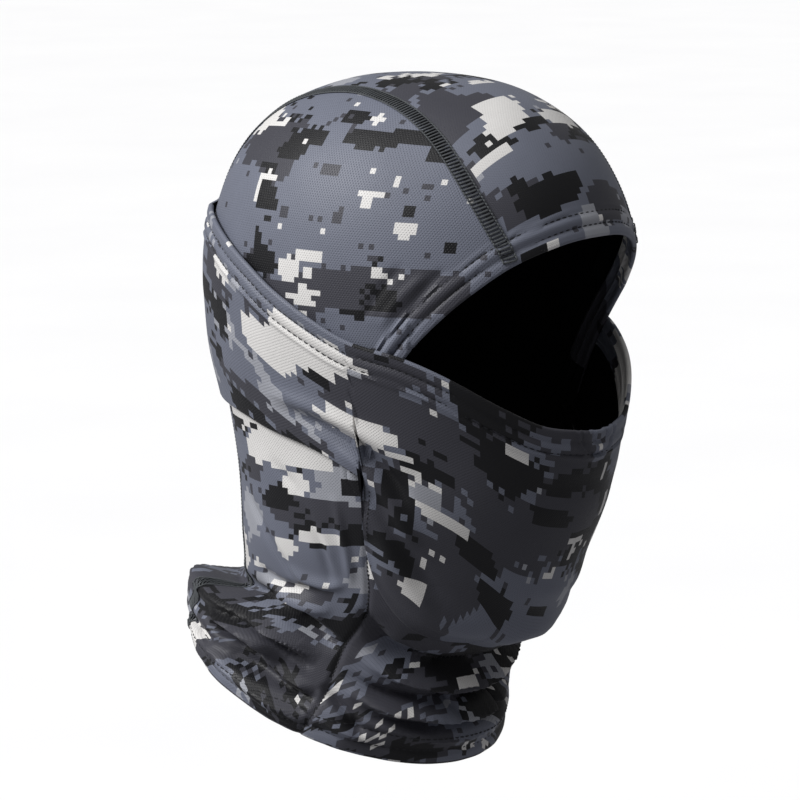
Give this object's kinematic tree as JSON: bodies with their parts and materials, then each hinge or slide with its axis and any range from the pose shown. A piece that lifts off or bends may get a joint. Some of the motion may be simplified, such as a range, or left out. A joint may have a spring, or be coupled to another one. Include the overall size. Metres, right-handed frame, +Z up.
{
  "type": "balaclava",
  "caption": "Close-fitting knitted head hood and neck tube with a wrap-round face mask that pulls down from nose and mouth.",
  "frame": {"origin": "inner face of the crown at its highest point, where the head holds the part", "axes": "+Z up, the face looks to -Y, +X is the wearer's left"},
  "size_m": [0.1632, 0.202, 0.2834],
  "materials": {
    "camo_knit": "grey digital camouflage print on fine mesh knit",
    "camo_knit_mask": "grey digital camouflage print on fine mesh knit",
    "hem_facing": "dull inside of the printed knit",
    "thread": "dark spun polyester thread"
  },
  "bodies": {
    "hood": {"crown_strip": "thread", "side_panel_left": "camo_knit", "side_panel_right": "camo_knit", "neck_side_left": "camo_knit", "neck_side_right": "camo_knit", "neck_front": "camo_knit", "mask_wing_left": "camo_knit_mask", "mask_wing_right": "camo_knit_mask", "brow_hem_centre": "hem_facing", "brow_hem_left": "hem_facing", "brow_hem_right": "hem_facing", "bottom_hem": "hem_facing", "wing_hem_left": "hem_facing", "wing_hem_right": "hem_facing", "crown_seam_left": "thread", "crown_seam_right": "thread", "wing_seam_left": "thread", "wing_seam_right": "thread", "side_seam_left": "thread", "side_seam_right": "thread", "brow_row_outer": "thread", "brow_row_inner": "thread", "bottom_row_lower": "thread", "bottom_row_upper": "thread", "wing_row_outer_left": "thread", "wing_row_outer_right": "thread", "wing_row_inner_left": "thread", "wing_row_inner_right": "thread"},
    "mask": {"mask_front": "camo_knit_mask", "mask_hem_front": "hem_facing", "mask_row_outer": "thread", "mask_row_inner": "thread", "mask_side_seam_left": "thread", "mask_side_seam_right": "thread"}
  },
  "joints": [
    {"name": "mask_pull_down", "type": "slide", "parent": "hood", "child": "mask", "axis": [0, 0, -1], "range_m": [0, 0.06]}
  ]
}
